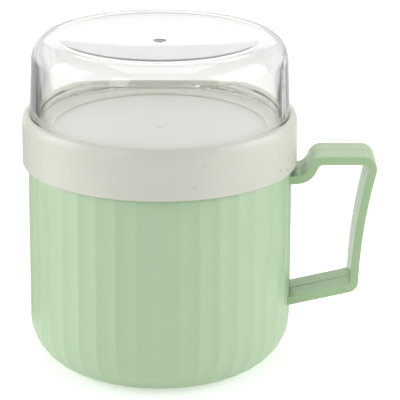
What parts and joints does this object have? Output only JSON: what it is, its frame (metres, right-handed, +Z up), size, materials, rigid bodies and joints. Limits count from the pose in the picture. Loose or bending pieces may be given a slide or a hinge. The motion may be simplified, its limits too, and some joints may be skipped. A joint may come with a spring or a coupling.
{
  "type": "lidded soup mug",
  "caption": "Fluted soup mug with a swan-necked handle, an inner lid held down by a screw collar, and a clear cup that screws upside down into the collar.",
  "frame": {"origin": "centre of the foot, on the plane that the mug stands on", "axes": "+Z up along the axis of the mug, +X out through the middle of the handle"},
  "size_m": [0.1407, 0.109, 0.1346],
  "materials": {
    "green_plastic": "satin moulded polypropylene, pale green",
    "handle_plastic": "satin moulded polypropylene, pale green, as the mug",
    "off_white_plastic": "satin moulded polypropylene, warm off-white",
    "milky_plastic": "milky translucent polypropylene",
    "soft_seal": "whitish silicone",
    "clear_plastic": "clear glossy plastic"
  },
  "bodies": {
    "mug": {"mug_body": "green_plastic", "handle": "handle_plastic"},
    "lid": {"inner_lid": "milky_plastic", "lid_seal": "soft_seal"},
    "screw_collar": {"collar": "off_white_plastic"},
    "cup_seal": {"dome_seal": "soft_seal"},
    "clear_cup": {"dome": "clear_plastic"}
  },
  "joints": [
    {"name": "lid_lift", "type": "slide", "parent": "mug", "child": "lid", "axis": [0, 0, 1], "range_m": [0, 0.01]},
    {"name": "collar_turn", "type": "hinge", "parent": "lid", "child": "screw_collar", "pos_m": [0, 0, 0.0947], "axis": [0, 0, 1], "range_deg": [0, 300]},
    {"name": "cup_lift", "type": "slide", "parent": "screw_collar", "child": "cup_seal", "axis": [0, 0, 1], "range_m": [0, 0.0045]},
    {"name": "cup_turn", "type": "hinge", "parent": "cup_seal", "child": "clear_cup", "pos_m": [0, 0, 0.1036], "axis": [0, 0, 1], "range_deg": [0, 135]}
  ],
  "couplings": [
    {"joint": "lid_lift", "follows": "collar_turn", "m_per_rad": 0.0019099},
    {"joint": "cup_lift", "follows": "cup_turn", "m_per_rad": 0.0019099}
  ]
}
